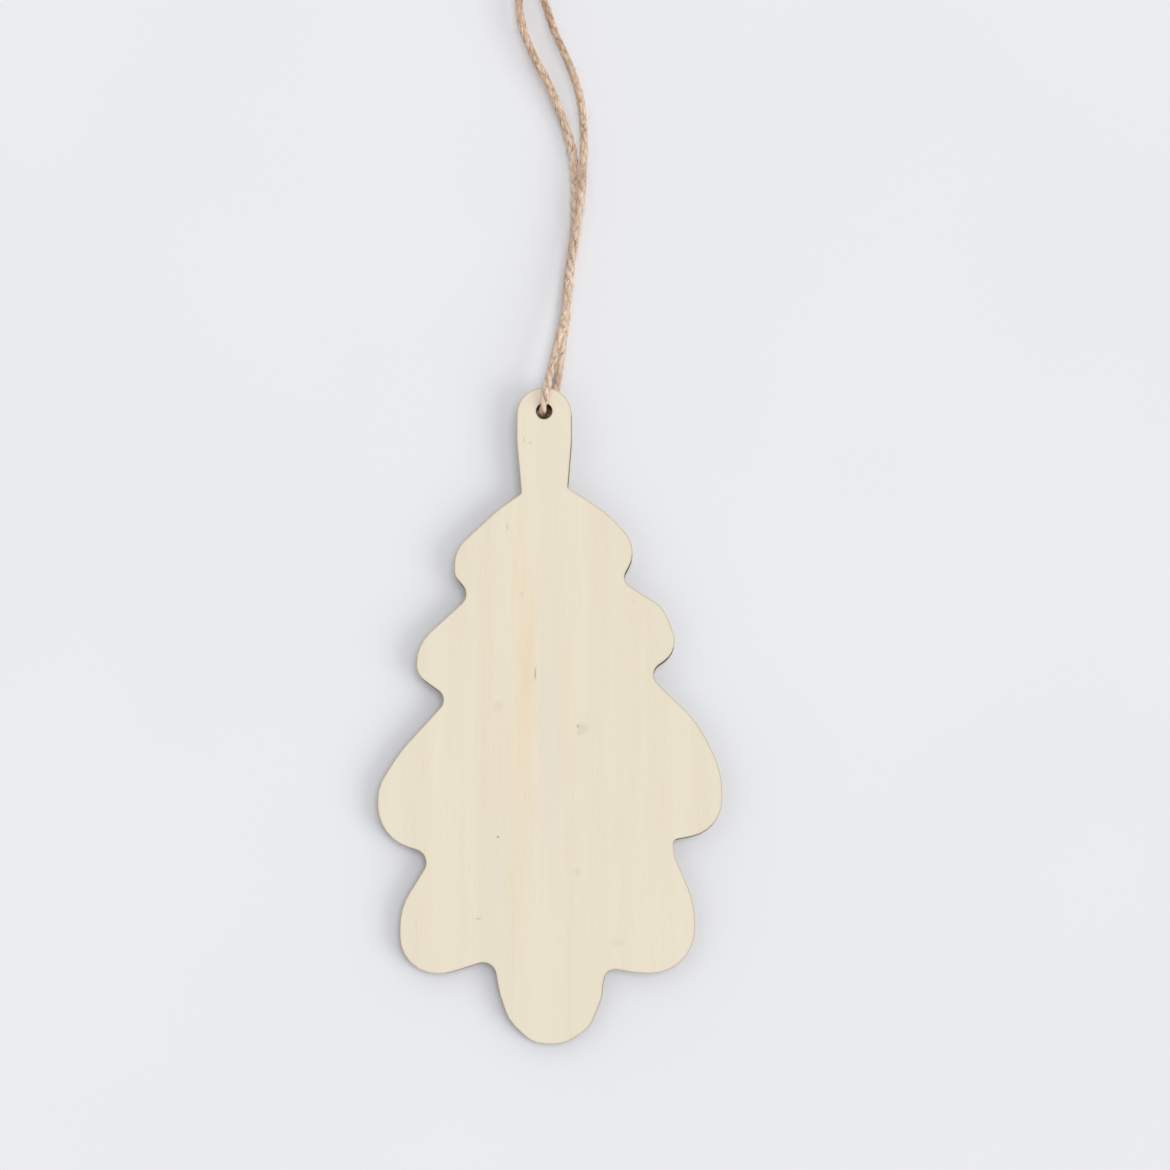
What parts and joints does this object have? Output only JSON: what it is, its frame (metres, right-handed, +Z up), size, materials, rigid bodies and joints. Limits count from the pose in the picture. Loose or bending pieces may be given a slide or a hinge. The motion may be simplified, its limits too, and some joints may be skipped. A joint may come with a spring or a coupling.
{
  "type": "leaf gift tag",
  "caption": "Flat oak-leaf gift tag of thin plywood with a round hole in its stem and a knotted loop of jute twine through it.",
  "frame": {"origin": "on the table, under the middle of the leaf's own bounding box", "axes": "+Z up from the table, +Y from the leaf's tip to its stem, +X to the leaf's right seen from the front"},
  "size_m": [0.0626, 0.2317, 0.0066],
  "materials": {
    "veneer": "pale unfinished basswood, sanded, with a faint straight grain",
    "core": "cross-laid core veneer that shows only at the laser-browned edge",
    "glue": "thin hardened glue line, charred at the cut edge",
    "jute": "two-ply jute twine with loose fibres"
  },
  "bodies": {
    "leaf": {"front_veneer": "veneer", "front_glue_line": "glue", "core_veneer": "core", "back_glue_line": "glue", "back_veneer": "veneer"},
    "loop": {"twine_loop": "jute", "twine_knot": "jute"}
  },
  "joints": [
    {"name": "loop_swing", "type": "hinge", "parent": "leaf", "child": "loop", "pos_m": [-0.00115, 0.05555, 0.0033], "axis": [0, 0, 1], "range_deg": [-70, 70]}
  ]
}
